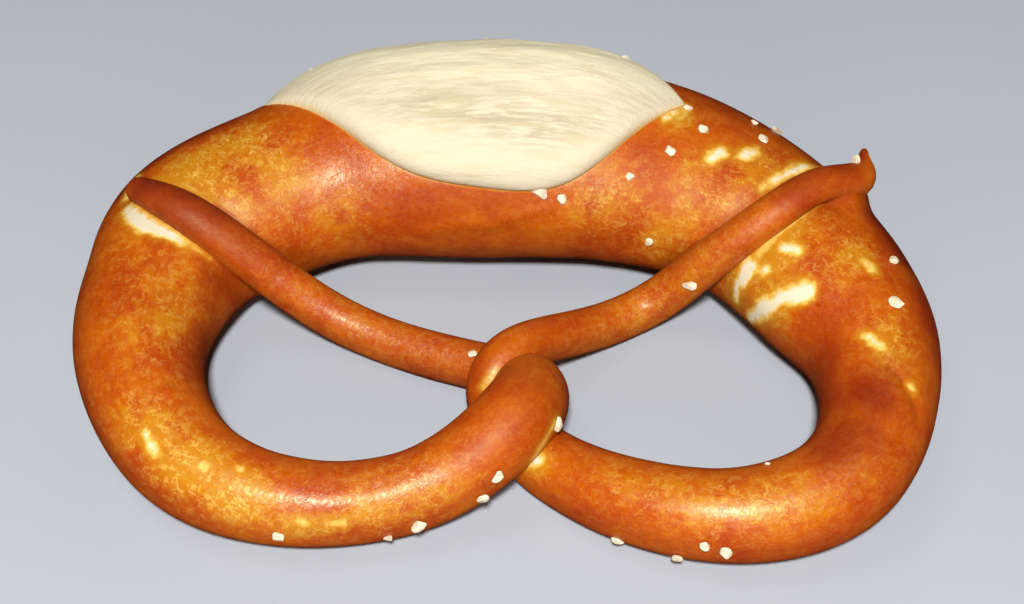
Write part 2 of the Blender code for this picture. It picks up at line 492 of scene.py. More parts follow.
print("ramp at 0, 1, 2:", ramp(np.arange(3), 0, 2), "hump:", hump(np.arange(3), 1).round(2))

# %% [markdown]
# ## The split
# The baker slits the belly with a blade, and the slit opens in the oven into a leaf shape. It could
# be cut out of the crust with a Boolean, but crust and crumb are easier to fit when both know the
# same outline. So the split is two curves along the belly, its front and its back edge, each given
# as an angle round the rope. They meet at both ends, and a higher bluntness makes the leaf's ends
# rounder.

# %% The split's outline
SPLIT_MIDDLE_X = -7.1
SPLIT_HALF_LENGTHS = (37.8, 39.2)  # its left and right half
SPLIT_FRONT_BLUNTNESS = (2.9, 2.8)
SPLIT_BACK_BLUNTNESS = 4.5
SPLIT_END_ANGLES = (44, 14)
SPLIT_FRONT_ANGLE = -60
SPLIT_BACK_ANGLE = 54
BELLY_STARTS_Y = 15
belly_rows = line[:, 1] > BELLY_STARTS_Y


def split_travel(u):
    """Travel at a share of the split's half length, from -1 at its left end to 1 at its right."""
    reach = np.where(u < 0, *SPLIT_HALF_LENGTHS)
    return np.interp(SPLIT_MIDDLE_X + u * reach, line[belly_rows, 0], line_travel[belly_rows])


def split_edges(u):
    """Angles of the split's front and back edge in radians."""
    left, right = SPLIT_END_ANGLES
    middle = (left + right) / 2
    closed = middle + u * (right - left) / 2
    bluntness = np.where(u < 0, *SPLIT_FRONT_BLUNTNESS)
    front = closed + (SPLIT_FRONT_ANGLE - middle) * (1 - np.abs(u) ** bluntness)
    back = closed + (SPLIT_BACK_ANGLE - middle) * (1 - np.abs(u) ** SPLIT_BACK_BLUNTNESS)
    return np.radians(front), np.radians(back)


print("the split runs from", split_travel(-1).round(), "to", split_travel(1).round(), "mm")

# %% [markdown]
# ## Crust
# The crust is the dough's own skin, browned by lye. On the real pretzel it is one skin all over,
# so it is one grid wrapped round the whole rope, with a half ball at each tip. Its steps are about
# a millimetre, so that lumps and creases are real relief and not only shading. What changes from
# place to place, such as tears and golden spots, is worked in as numbers on the vertices, and the
# finish reads them.

# %% The crust's skin
CRUST_STEP = 0.95
CRUST_ROWS = 124
DOME_COLUMNS = 6

dome = np.sin(np.linspace(0, math.pi / 2, DOME_COLUMNS + 1))[1:]
first_radius, last_radius = line[0, 4] / 2, line[-1, 4] / 2
columns = np.concatenate(
    [
        -first_radius * dome[::-1],
        np.linspace(0, ROPE_LENGTH, int(ROPE_LENGTH / CRUST_STEP)),
        ROPE_LENGTH + last_radius * dome,
    ]
)
crust, along, around = flat_grid("crust", len(columns) - 1, CRUST_ROWS)
travel = np.interp(along, np.linspace(0, 1, len(columns)), columns)
angle = (2 * around - 1) * math.pi
smooth_skin = skin(travel, angle)
_, _, _, half_width, half_height = rope_at(travel)
radius = np.sqrt(half_width * half_height)
print("crust grid", len(columns), "by", CRUST_ROWS + 1)

# %% Distances on the crust
here_on_skin = np.stack([travel, angle * radius], axis=1)
girth_radius = np.sqrt(rope_at(columns)[3] * rope_at(columns)[4])
DOT = 1e-6  # a stroke shorter than this is a dot


def to_stroke(start, end):
    """Distance in mm of each vertex from a stroke between two (travel, degrees), and its share along."""
    first, last = (
        np.array((t, math.radians(degrees) * np.interp(t, columns, girth_radius)))
        for t, degrees in (start, end)
    )
    span = last - first
    from_first = here_on_skin - first
    share = np.clip((from_first @ span) / max(span @ span, DOT), 0, 1)
    return np.linalg.norm(from_first - share[:, None] * span, axis=1), share


def patches(places):
    """Soft patches, each (travel, degrees, length, breadth, strength), lengths in mm."""
    total = np.zeros(len(travel))
    for t, degrees, length, breadth, strength in places:
        off_along = (travel - t) / length
        off_round = (angle - math.radians(degrees)) * radius / breadth
        total = np.maximum(total, strength * np.exp(-(off_along**2) - off_round**2))
    return total


def part_of_rope(first, last):
    """The vertices whose travel lies between two places."""
    return (travel > first) & (travel < last)


print("the rope is up to", (2 * girth_radius.max()).round(1), "mm thick")

# %% [markdown]
# ### Arms pressed into the shoulders
# The thin arms were laid on soft dough, so they sank in a little, and a crease runs beside each of
# them. It could be sculpted by hand. Here it comes from the distance between the shoulders' skin
# and the arms, so that it follows the arms wherever they lie.

# %% Prints of the arms
ARM_PRINT_DEPTH = 0.7
ARM_PRINT_REACH = 3.0
ARM_ON_LEFT_SHOULDER = (-2, 40)
ARM_ON_RIGHT_SHOULDER = (560, 612)
LEFT_SHOULDER = (200, 280)
RIGHT_SHOULDER = (330, 400)
PLACES_ON_ARM = 60
FAR = 99.0


def distance_to_arm(first, last):
    """How far each vertex of the crust lies from an arm's skin, in mm."""
    middle, _, _, arm_radii, _ = rope_at(np.linspace(first, last, PLACES_ON_ARM))
    here = smooth_skin / MM + ROUTE_ORIGIN
    nearest = np.full(len(here), FAR)
    for spot, arm_radius in zip(middle, arm_radii):
        nearest = np.minimum(nearest, np.linalg.norm(here - spot, axis=1) - arm_radius)
    return nearest


from_left_arm = np.where(part_of_rope(*LEFT_SHOULDER), distance_to_arm(*ARM_ON_LEFT_SHOULDER), FAR)
from_right_arm = np.where(part_of_rope(*RIGHT_SHOULDER), distance_to_arm(*ARM_ON_RIGHT_SHOULDER), FAR)
from_arm = np.minimum(from_left_arm, from_right_arm)
arm_print = ARM_PRINT_DEPTH * hump(np.maximum(from_arm, 0), ARM_PRINT_REACH)
print("vertices beside the arms:", int((arm_print > 0.1).sum()))

# %% [markdown]
# ### The lip along the split
# Where the crust was cut it curled up, and it stands a little proud of the crumb's rim. An edge
# could be pulled up by hand. Here each vertex gets its distance inside the split's outline,
# negative outside it, and the lip is a low ridge just outside, even all along.

# %% Lip
LIP_RISE = 0.12
LIP_OUTSIDE = 0.6
LIP_REACH = 1.1
BELLY_TRAVEL = (220, 380)
from_middle = np.interp(travel, line_travel, line[:, 0]) - SPLIT_MIDDLE_X
reach = np.where(from_middle < 0, *SPLIT_HALF_LENGTHS)
u_here = from_middle / reach
front_edge, back_edge = split_edges(np.clip(u_here, -1, 1))
inside_split = np.minimum(angle - front_edge, back_edge - angle) * radius
past_end = (np.abs(u_here) - 1) * reach
beyond_end = -np.hypot(past_end, np.minimum(inside_split, 0))
inside_split = np.where(past_end > 0, beyond_end, inside_split)
inside_split = np.where(part_of_rope(*BELLY_TRAVEL), inside_split, -FAR)
lip = LIP_RISE * hump(inside_split + LIP_OUTSIDE, LIP_REACH)
print("vertices inside the split:", int((inside_split > 0).sum()))

# %% [markdown]
# ### Lumps, folds and cracks
# No dough is smooth: it has broad lumps from rolling, small ones from bubbles, folds across the
# thin arm and a few cracks and blisters. A displacement texture would spread the same bumps all
# over. So smooth noise gives the lumps, and a short list of strokes the folds that show singly.
# All of it is one relief, which grows weaker where the rope is thin.

# %% Lumps and strokes
BROAD_LUMPS = 0.30
SMALL_LUMPS = 0.12
dough = straightened(travel, angle)
broad = lumps(dough, size=26, seed=1)
small = lumps(dough * (1, 1.6, 1.6), size=9, seed=2)
relief = BROAD_LUMPS * broad + SMALL_LUMPS * small - arm_print + lip

# Strokes pressed into the dough or raised from it, as start, end, half breadth and height in mm.
CREASE_DARKNESS = 1.4
FURROWS = (
    ((33, -70), (34, 70), 0.9, -0.30),  # folds across the left arm
    ((51, -60), (50, 20), 0.9, -0.20),
    ((401, -24), (409, 0), 0.8, -0.30),  # crack along the right loop
    ((409, 0), (416, 44), 0.8, -0.35),
    ((185, -14), (185, -12), 1.2, 0.50),  # blister on the left loop
    ((285, -91), (300, -85), 1.4, 0.25),  # ridge along the belly's front
    ((300, -85), (313, -71), 1.2, 0.25),
    ((545, -40), (556, -52), 1.5, 0.20),
    ((361, 27), (361, -20), 0.6, -0.2),
)
# Painted shade that each pressed-in stroke lays in its furrow, for the finish.
creased = np.zeros(len(travel))
for start, end, breadth, height in FURROWS:
    stroke = hump(to_stroke(start, end)[0], breadth)
    relief += height * stroke
    creased = np.maximum(creased, -CREASE_DARKNESS * height * stroke)
print("creased vertices:", int((creased > 0.1).sum()))

# %% The arms' ends
# Past the edge of the shoulder the right arm has melted into it: the crease there is filled.
MELTED_HEIGHT = 2.2
MELTED_REACH = 2.4
MELTED_FROM, MELTED_OVER = math.radians(16), math.radians(14)
melting = ramp(angle, MELTED_FROM, MELTED_OVER) * (from_right_arm < FAR)
relief += (arm_print + MELTED_HEIGHT * hump(np.maximum(from_arm, 0), MELTED_REACH)) * melting

# Thin dough has lower lumps, both tips are smooth, and the right tip was pinched off.
FULL_RELIEF_RADIUS = 8
LEAST_RELIEF = 0.25
SMOOTH_TIP = 6
PINCH_SHARE = 0.45
PINCH_REACH = 2.5
relief *= np.clip(radius / FULL_RELIEF_RADIUS, LEAST_RELIEF, 1)
relief *= ramp(np.minimum(travel, ROPE_LENGTH - travel), 0, SMOOTH_TIP)
relief -= PINCH_SHARE * radius * hump(ROPE_LENGTH + 1 - travel, PINCH_REACH)
crust_points = skin(travel, angle, relief)
print("relief from", relief.min().round(2), "to", relief.max().round(2), "mm")

# %% [markdown]
# ### Torn and stretched places
# Where the dough swelled faster than its skin, the skin stretched until it was yellow, and in places
# it tore and shows white dough. Such places could be painted by hand on the mesh. Here each is a
# short stroke on the skin, and the depth inside the nearest stroke is what the finish reads.

# %% Torn places
# Each stroke is its two ends as (travel, degrees) and its half breadth at both.
TEARS = (
    ((228, 30), (225, 8), 1.3, 1.9),  # beside the left arm's end
    ((225, 8), (224, -20), 1.9, 1.0),
    ((335, -4), (336, 4), 0.5, 0.6),  # ragged right end of the split
    ((231, 41), (234, 46), 0.5, 0.8),  # pale sliver past the left arm's tip
    ((348, -16), (349, -10), 1.2, 1.1),  # two spots between split and right arm
    ((353, -3), (354, 4), 1.2, 0.9),
    ((361, -14), (362, 24), 0.5, 0.9),  # stretched behind the right arm
    ((372, -76), (372, -64), 1.6, 2.0),  # below the right arm
    ((372, -94), (371, -82), 0.8, 0.9),
    ((375, -56), (376, -54), 0.7, 0.7),
    ((375, -34), (377, -28), 1.1, 1.0),
    ((377, -102), (380, -84), 0.8, 1.4),
    ((380, -82), (382, -64), 1.8, 1.1),
    ((382, -62), (385, -44), 1.3, 2.0),
    ((386, 6), (388, 8), 0.4, 0.6),
    ((402, -18), (405, -6), 0.4, 0.6),
    ((412, 28), (412, 30), 0.1, 0.1),
    ((487, 38), (488, 49), 1.0, 0.7),  # below the knot's bulb
    ((180, 31), (177, 39), 0.5, 0.8),  # left corner
    ((169, 22), (169, 24), 0.5, 0.4),
    ((163, 8), (163, 10), 0.1, 0.1),
    ((152, 64), (151, 66), 0.2, 0.3),  # beige spots below it
    ((147, 66), (145, 66), 0.1, 0.1),
)

# %% Stretched places
STRETCHES = (
    ((235, 30), (236, -8), -0.3, 0.5),  # beside the left arm
    ((236, -8), (240, -50), 0.5, -0.3),
    ((224, -20), (224, -46), 0.9, 0.4),
    ((370, 8), (371, -20), 0.5, 1.4),  # below the right arm
    ((371, -20), (372, -60), 0.9, 1.4),
    ((107, 76), (112, 103), 0.7, 0.9),  # round the knot
    ((507, 24), (511, -32), 0.7, 0.5),
    ((286, -91), (300, -85), -0.8, -0.7),  # light streak along the belly's front
    ((300, -85), (313, -71), -0.7, -0.8),
    ((267, -93), (272, -80), -0.8, -0.8),
    ((401, -23), (409, -1), 0.1, -0.4),  # along the crack in the right loop
    ((609, -80), (612, -70), 0.2, 0.5),  # pale side of the right tip
    ((155, 60), (140, 58), -0.1, -0.1),  # below the left corner
    ((337, 2), (337, 10), 1.6, 1.6),  # at the split's right end
)
WELL_OUTSIDE = -9.0  # mm


def inside_strokes(strokes):
    """How far each vertex lies inside the nearest stroke, in mm, negative outside."""
    depth = np.full(len(travel), WELL_OUTSIDE)
    for start, end, start_breadth, end_breadth in strokes:
        distance, share = to_stroke(start, end)
        depth = np.maximum(depth, start_breadth + (end_breadth - start_breadth) * share - distance)
    return depth


inside_tears = inside_strokes(TEARS)
inside_stretches = inside_strokes(STRETCHES)
print("torn vertices:", int((inside_tears > 0).sum()), "stretched:", int((inside_stretches > 0).sum()))

# %% [markdown]
# ### Golden, dark, wrinkled and matt zones
# The browning isn't even either. Where the lye ran off the crust is golden, where it gathered or
# where the oven was hottest it is dark, and some places are wrinkled or matt. A noise alone would
# put such zones anywhere, so each is placed: a soft patch with a length along the rope, a breadth
# round it and a strength. Painted shade on the far flank behind the split, and on the rope's
# sides, follows a rule instead of a list, and adds to the dark zones.

# %% Golden zones
# Travel in mm, degrees round the rope, length and breadth in mm, and strength.
GOLDEN = (
    (240, -6, 9, 13, 1.0), (249, 3, 9, 10, 0.9), (254, -25, 8, 8, 0.9), (241, -30, 6, 9, 0.9),
    (250, -50, 9, 9, 0.6), (246, 14, 8, 6, 0.8), (218, -4, 7, 14, 0.5), (208, -5, 12, 12, 0.3),
    (180, 26, 9, 8, 1.0), (171, 34, 8, 8, 1.2), (162, 45, 8, 7, 1.2), (151, 66, 9, 4, 1.0),
    (186, 50, 10, 6, 0.4), (349, -55, 7, 9, 0.7), (328, -64, 16, 10, 0.8), (345, -80, 12, 8, 0.8),
    (264, -66, 14, 10, 0.6), (250, 6, 10, 9, 0.9), (253, -22, 8, 8, 0.9), (347, -33, 7, 8, 0.6),
    (356, -35, 6, 9, 0.7), (357, -9, 6, 8, 0.9), (371, -76, 7, 9, 1.0), (376, -45, 7, 12, 1.0),
    (384, 0, 6, 9, 0.8), (382, -60, 6, 10, 1.0), (372, -42, 7, 12, 1.2), (54, -20, 32, 8, 0.4),
    (555, -40, 30, 8, 0.5), (205, -30, 22, 12, 0.7), (135, 30, 20, 8, 0.6), (138, 56, 20, 6, 0.8),
    (450, 28, 18, 7, 0.8), (404, 4, 9, 6, 0.8), (488, 42, 5, 4, 0.9), (464, 22, 16, 6, 0.7),
    (450, 40, 18, 5, 0.5), (337, 4, 4, 5, 1.0), (100, 40, 9, 4, 0.3), (430, 30, 12, 6, 0.4),
)

# %% Dark, wrinkled and matt zones
DARK = (
    (417, -5, 12, 10, 0.8), (427, -8, 14, 10, 0.8), (222, -66, 16, 8, 0.8), (412, -66, 22, 8, 0.6),
    (300, -112, 40, 8, 0.3), (366, 46, 12, 10, 0.6), (106, 30, 8, 8, 0.5), (4, 20, 10, 8, 1.0),
    (14, 60, 22, 5, 1.0), (12, 0, 18, 25, 0.8), (205, -20, 22, 16, 0.3), (345, 32, 12, 7, 0.5),
    (358, 42, 12, 8, 0.6), (600, -5, 12, 12, 0.5), (396, 52, 24, 9, 0.6), (330, -95, 26, 8, 0.4),
    (8, 40, 16, 12, 0.9), (368, 32, 8, 8, 0.8), (592, 10, 10, 8, 0.6), (612, 30, 3, 3, 1.0),
    (190, -70, 24, 8, 0.7), (500, 0, 8, 8, 0.3), (290, -68, 14, 6, 0.35),
)
WRINKLED = (
    (268, -52, 14, 10, 1.0), (322, -44, 12, 9, 0.8), (341, -52, 8, 8, 0.8), (250, -20, 10, 12, 0.5),
    (18, -5, 18, 10, 0.8), (150, 52, 14, 8, 0.9), (138, 28, 20, 8, 1.0), (445, 32, 16, 6, 0.5),
    (62, -15, 32, 8, 1.0), (560, -40, 30, 8, 1.0),
)
MATT = (
    (104, 20, 14, 12, 1.0), (4, 0, 18, 12, 1.0), (605, 0, 12, 9, 0.6), (592, -10, 14, 9, 0.8),
    (248, -35, 12, 14, 0.6), (353, -45, 12, 14, 0.7), (336, -44, 16, 14, 1.0),
    (362, -40, 12, 14, 0.6), (116, 16, 10, 12, 0.7), (20, 6, 14, 12, 0.7),
)
print("golden, dark, wrinkled and matt zones:", *map(len, (GOLDEN, DARK, WRINKLED, MATT)))

# %% Painted shade on the flanks
# Painted shade: the far flank of belly and shoulders is painted dark from just past the ridge
# down, and the whole rope a little dark on both its sides, where they turn away from the main
# light. Both ease off underneath.
FLANK_STARTS, FLANK_ENDS = 225, 395
FLANK_EASE = 8
FLANK, SIDES, UNDERNEATH = (16, 34), (50, 40), (70, 30)  # degrees: its start and its growth
SIDE_DARKNESS = 0.4
FLANK_LOST, SIDES_LOST = 0.7, 0.5  # share that is gone straight underneath
off_top = np.degrees(np.abs(angle))
underneath = ramp(off_top, *UNDERNEATH)
on_flank = ramp(np.minimum(travel - FLANK_STARTS, FLANK_ENDS - travel), 0, FLANK_EASE)
shaded_far_flank = ramp(np.degrees(angle), *FLANK) * on_flank * (1 - FLANK_LOST * underneath)
shaded_sides = ramp(off_top, *SIDES) * SIDE_DARKNESS * (1 - SIDES_LOST * underneath)
print("dark flank:", int((shaded_far_flank > 0.5).sum()), "vertices")

# %% Numbers for the finish
# Gold fades under the painted shade of the far flank.
GOLD_LOST_ON_FLANK = 0.8
for name, values in (
    ("torn", inside_tears),
    ("stretched", inside_stretches),
    ("golden", patches(GOLDEN) * (1 - GOLD_LOST_ON_FLANK * shaded_far_flank)),
    # The dark zones and the painted shade of flanks and sides go in one number.
    ("dark", np.maximum(np.maximum(patches(DARK), shaded_far_flank), shaded_sides)),
    ("wrinkled", patches(WRINKLED)),
    ("matt", patches(MATT)),
    ("creased", creased),
    ("split", inside_split),
    ("beside_arm", np.clip(from_arm, -1, 20)),
    ("dough", dough),
):
    work_in(crust, name, values)
close(crust, crust_points)

# %% [markdown]
# ### How a lye crust looks
# Lye turns the skin a glossy orange brown. The skin was wet when it went in, so the brown is
# clouded with paler, golden, watery marks, and it carries fine curly flecks. Where the dough was
# stretched it is yellow, and where the skin tore, white dough shows inside a yellow rim. A picture
# could be wrapped round the rope, but noises at several sizes give the same mixture, sharp from
# any distance. The colour is built up in the order of the baking: brown, clouds, flecks and dark
# zones, then stretched places and tears. Painted shade on the flanks, beside the arms and in the
# creases goes in with the dark zones.

# %% Crust paints
DEEP_BROWN = seen(110, 27, 0)
BURNT_AND_SHADE_BROWN = seen(70, 14, 0)
BROWN = seen(141, 45, 0)
ORANGE = seen(158, 72, 0)
AMBER = seen(163, 105, 10)
PALE_GOLD = seen(194, 156, 70)
WHITE_DOUGH = seen(190, 178, 150)
print("brown, as light:", [round(v, 3) for v in BROWN])

# %% Streaks and veins


def with_the_dough(finish, along_dough, across_dough):
    """Where a grain of size 1 is looked up, to be this many mm long with the dough and this broad."""
    dough_place = finish.node("ShaderNodeAttribute", {"attribute_name": "dough"}, out="Vector")
    shrink = (1 / along_dough, 1 / across_dough, 1 / across_dough)
    return finish.node("ShaderNodeVectorMath", {"operation": "MULTIPLY"}, {0: dough_place, 1: shrink})


def veins(finish, size, breadth, skew=1.0):
    """Thin wandering lines: the places where a noise crosses its middle."""
    return 1 - (finish.grain(size, 3, rough=0.5, skew=skew) - 0.5).size().between(0.0, breadth)


# %% Brown and clouds
crust_finish = Finish("browned crust", BROWN)
clouds = crust_finish.grain(11, 3, rough=0.5, skew=0.3)
mottle = crust_finish.grain(3.2, 4, rough=0.6, skew=0.6)
wisps = crust_finish.grain(1, 4, with_the_dough(crust_finish, 6, 1.8), rough=0.6, skew=0.6)
golden = crust_finish.worked("golden")
lightness = clouds * 0.5 + mottle * 0.3 + wisps * 0.2 + golden * 0.12
crust_finish.paint(ORANGE, lightness.between(0.36, 0.66))
watery = (golden * 0.42 + clouds * 0.45 + mottle * 0.4 + wisps * 0.35).between(0.74, 1.06)
crust_finish.paint(AMBER, watery * 0.9)
pale_spots = (crust_finish.grain(1.9, 2, rough=0.6, skew=0.8) + golden * 0.06).between(0.62, 0.84)
crust_finish.paint(PALE_GOLD, pale_spots * golden * 0.8)
print("clouds:", len(crust_finish.tree.nodes), "nodes")

# %% Curly flecks, streaks and grit
broken = crust_finish.grain(1.6, 1).between(0.44, 0.58)
more_in_gold = 0.04 + golden * 0.2 + golden * golden * 0.3
crust_finish.paint(PALE_GOLD, veins(crust_finish, 1.5, 0.09) * broken * more_in_gold)
streaks = crust_finish.grain(1, 3, with_the_dough(crust_finish, 3.4, 0.7), rough=0.5, skew=0.5)
crust_finish.paint(PALE_GOLD, streaks.between(0.58, 0.76) * 0.1)
grit = crust_finish.grain(0.55, 2)
crust_finish.paint(AMBER, grit.between(0.56, 0.72) * (0.08 + golden * 0.3))
crust_finish.paint(DEEP_BROWN, (1 - grit.between(0.30, 0.44)) * 0.3)
print("with flecks:", len(crust_finish.tree.nodes), "nodes")

# %% Dark zones, burnt spots, and painted shade on the flanks, beside the arms and in creases
dark = crust_finish.worked("dark")
# Dark zones, and painted shade on the far flank and on the rope's sides.
crust_finish.paint(DEEP_BROWN, (dark * 0.95 + (0.5 - clouds) * 0.7).between(0.08, 1.05))
# Burnt spots where it is darkest, which also deepen the painted shade of the far flank.
crust_finish.paint(BURNT_AND_SHADE_BROWN, (dark * 0.8 + (0.5 - mottle) * 0.5).between(0.5, 1.0) * 0.5)
# Painted shade in the crease beside each arm.
crust_finish.paint(DEEP_BROWN, (1 - crust_finish.worked("beside_arm").between(-0.3, 0.7)) * 0.5)
# Painted shade in the pressed-in folds and cracks.
crust_finish.paint(DEEP_BROWN, crust_finish.worked("creased").between(0.1, 0.9) * 0.8)

# %% Stretched and torn places
# Each is measured in mm inside its stroke, and a noise of one or two mm frays its edge.
fray = crust_finish.grain(1.8, 4, rough=0.6) - 0.5
stretched = crust_finish.worked("stretched") + fray * 1.8
crust_finish.paint(AMBER, stretched.between(-1.1, 0.3) * 0.75)
crust_finish.paint(PALE_GOLD, stretched.between(-0.2, 0.9) * 0.8)
torn = crust_finish.worked("torn") + fray * 2.4
crust_finish.paint(AMBER, torn.between(-2.0, -0.4) * 0.75)
crust_finish.paint(PALE_GOLD, torn.between(-0.9, 0.2))
crust_finish.paint(WHITE_DOUGH, torn.between(-0.1, 0.8))
# The crust's cut edge is amber, and wrinkled skin has dark pits.
crust_finish.paint(AMBER, (crust_finish.worked("split") + fray * 0.8).between(-0.6, 0.1))
wrinkled = crust_finish.worked("wrinkled")
crust_finish.paint(DEEP_BROWN, crust_finish.grain(0.8, 1).between(0.70, 0.76) * wrinkled * 0.6)
print("with all paints:", len(crust_finish.tree.nodes), "nodes")

# %% [markdown]
# ### Gloss and fine relief
# The skin dried to a thin glaze, which shines and is crazed all over, most where the skin is
# wrinkled. One gloss for the whole crust would give smooth, plastic highlights. So there are two:
# a rather sharp shine of the skin itself, with fine bumps in it, and over it a broad and soft
# coat, which a noise and fine veins break into flecks. Matt places are rougher and have little of
# the coat, and torn places are the roughest.

# %% Fine bumps
wrinkles = crust_finish.grain(1, 1, with_the_dough(crust_finish, 0.8, 2.6), rough=0.5, skew=0.5)
bump = crust_finish.relief(mottle, 0.08)
bump = crust_finish.relief(crust_finish.grain(1.0, 0), 0.022, bump)
bump = crust_finish.relief(wrinkles * (0.3 + wrinkled), 0.034, bump)
bump = crust_finish.relief((1 - veins(crust_finish, 1.5, 0.06)) * wrinkled, 0.03, bump)
bump = crust_finish.relief(torn.between(-0.4, 0.8), 0.12, bump)

# %% Glaze
matt = crust_finish.worked("matt")
skin_roughness = 0.28 + 0.08 * wisps + 0.08 * dark + 0.28 * matt + 0.4 * torn.between(-0.6, 0.4)
flecks = 0.15 + crust_finish.grain(0.75, 2, rough=0.6, skew=0.6).between(0.42, 0.60) * 0.85
crazed = 1 - veins(crust_finish, 1.7, 0.05) * 0.8
glaze = flecks * crazed * (0.5 + wrinkled * 0.5) * (1 - matt.between(0.0, 1.0) * 0.9)
crust_finish.put_on(
    crust,
    Roughness=skin_roughness,
    Normal=bump,
    Specular_IOR_Level=0.26,
    Specular_Tint=(0.9, 1.0, 0.65),
    Coat_Weight=glaze,
    Coat_Roughness=0.6,
)
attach(crust, "root")
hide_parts("pretzel")

# %% [markdown]
# ## Crumb
# The belly was slit before baking, and the crumb has swelled out between the slit's edges. It
# could be part of the crust's grid in another colour, but its edge would then run in steps. So it
# is a cushion of its own. Its upper skin bulges, with a shallow fold where the two cut faces meet,
# and its lower skin lies hidden below the crust. Its rim starts just under the crust, so that the
# crust's lip stands against it all round.

# %% The cushion's grid
CRUMB_COLUMNS = 300
CRUMB_ROWS = 200
UPPER_SHARE = 0.62  # of the grid's rows

crumb, along, around = flat_grid("crumb", CRUMB_COLUMNS, CRUMB_ROWS)
u = np.sin((along - 0.5) * math.pi)
above = around < UPPER_SHARE
across = np.where(above, around / UPPER_SHARE, (1 - around) / (1 - UPPER_SHARE))
across = np.where(above, (1 - np.cos(math.pi * across)) / 2, across)
front_edge, back_edge = split_edges(u)
crumb_travel = split_travel(u)
crumb_angle = front_edge + (back_edge - front_edge) * across
crumb_dough = straightened(crumb_travel, crumb_angle)
from_rim = np.minimum(across, 1 - across)
print("crumb grid", CRUMB_COLUMNS + 1, "by", CRUMB_ROWS + 1, "with", int(above.sum()), "vertices above")

# %% The fold
# Shares of the way across, from the front edge at 0 to the back edge at 1.
FOLD_DEPTH = 0.7
FOLD_PLACE = 0.33
FOLD_BOW = 0.45
FOLD_MEANDER = 0.03
FOLD_WIDTH = 0.10
FOLD_MIDDLE_U = 0.15
FOLD_REACH_U = 0.55
LEAST_FOLD = 0.3  # of its depth, at the split's ends
meander = FOLD_MEANDER * lumps(crumb_dough * (1, 0, 0), size=14, seed=4)
fold_place = FOLD_PLACE * (1 - FOLD_BOW * u**2) + meander
fold = FOLD_DEPTH * hump(across - fold_place, FOLD_WIDTH)
fold *= LEAST_FOLD + (1 - LEAST_FOLD) * hump(u - FOLD_MIDDLE_U, FOLD_REACH_U, power=4)
print("the fold is up to", fold.max().round(2), "mm deep")

# %% Swell, streaks and puffs
CRUMB_RISE = 5.2
EDGE_SUNK = 0.15
CRUMB_SUNK = 2.5
LONG_STREAKS, FINE_STREAKS, PUFFS = 0.45, 0.15, 0.35
RIM_SHARE = 0.125  # of the way across, over which streaks and puffs grow
BELLY_RADIUS = 20
swell = CRUMB_RISE * np.sqrt(np.maximum(0, 1 - (2 * across - 1) ** 4))
upper = (swell - fold) * (1 - np.abs(u) ** 5) - EDGE_SUNK
streaks = LONG_STREAKS * lumps(crumb_dough * (0.2, 1, 1), size=4, seed=6)
streaks += FINE_STREAKS * lumps(crumb_dough * (0.3, 1, 1), size=1.6, seed=7)
puffs = PUFFS * lumps(crumb_dough, size=11, seed=8)
upper += (streaks + puffs) * ramp(from_rim, 0, RIM_SHARE) * (1 - np.abs(u) ** 3)
lower = -EDGE_SUNK - CRUMB_SUNK * np.sin(math.pi * across) * (1 - u**2)
crumb_points = skin(crumb_travel, crumb_angle, np.where(above, upper, lower))
for name, values in (
    ("across", across),
    ("dough", crumb_dough),
    ("in_fold", fold / FOLD_DEPTH),
    ("from_rim", from_rim * (back_edge - front_edge) * BELLY_RADIUS),
):
    work_in(crumb, name, values)
close(crumb, crumb_points)

# %% [markdown]
# ### How the crumb looks
# Baked crumb is matt and cream, a little yellower in its back half, which is also painted
# lighter where it turns away from the main light. Grey streaks of painted shade run along the
# fold, and fainter grey streaks all over, where the dough was pulled apart. The back rim is
# painted a darker tan, a few toasted specks lie anywhere, and the edge all round is stained gold
# by the crust. Noises that are long with the dough and narrow across it give the streaks, in
# colour and in relief.

# %% Crumb paints
CREAM = seen(184, 172, 145)
LIT_YELLOW_CREAM = seen(197, 187, 156)
FOLD_SHADE = seen(145, 132, 103)
SHADE = seen(178, 164, 128)
TAN = seen(176, 150, 104)

# %% Crumb finish
crumb_finish = Finish("cream crumb", CREAM)
soft = crumb_finish.grain(9, 3) - 0.5
place_across = crumb_finish.worked("across")
# The back half is yellower, and painted lighter where it turns away from the main light.
crumb_finish.paint(LIT_YELLOW_CREAM, (place_across + soft * 0.35).between(0.35, 0.62))
fine_streaks = crumb_finish.grain(1, 4, with_the_dough(crumb_finish, 7, 0.8), rough=0.6, skew=0.3)
# Painted shade: grey streaks along the fold.
crumb_finish.paint(FOLD_SHADE, crumb_finish.worked("in_fold") * fine_streaks.between(0.40, 0.58) * 0.75)
cloudy = crumb_finish.grain(1, 3, with_the_dough(crumb_finish, 16, 3.5), skew=0.6)
crumb_finish.paint(SHADE, (cloudy * 0.5 + fine_streaks * 0.5).between(0.50, 0.62) * 0.45)
# Darker tan towards the back rim.
crumb_finish.paint(TAN, (place_across + soft * 0.1).between(0.83, 0.93) * 0.5)
crumb_finish.paint(TAN, crumb_finish.grain(0.9, 2).between(0.68, 0.76) * 0.5)
crumb_finish.paint(PALE_GOLD, (1 - (crumb_finish.worked("from_rim") + soft * 0.8).between(0.0, 0.8)) * 0.45)
long_streaks = crumb_finish.grain(1, 5, with_the_dough(crumb_finish, 9, 1.6), rough=0.6, skew=0.3)
bump = crumb_finish.relief(long_streaks, 0.3)
bump = crumb_finish.relief(crumb_finish.grain(0.8, 4, rough=0.65), 0.12, bump)
crumb_finish.put_on(crumb, Roughness=0.8, Specular_IOR_Level=0.25, Normal=bump)
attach(crumb, "root")
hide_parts("pretzel")

# %% [markdown]
# ## Salt
# Pretzel salt is coarse: milky, blunt crystals, most of them two or three millimetres long, pressed
# on before baking. A particle system could scatter them, but the grains lie in a few clusters that
# are part of this pretzel's look, so each is placed. Each grain is a ball cut by a few flat planes
# and then blunted, so that it has the facets and the roundness of a real one. All are joined in
# one piece.

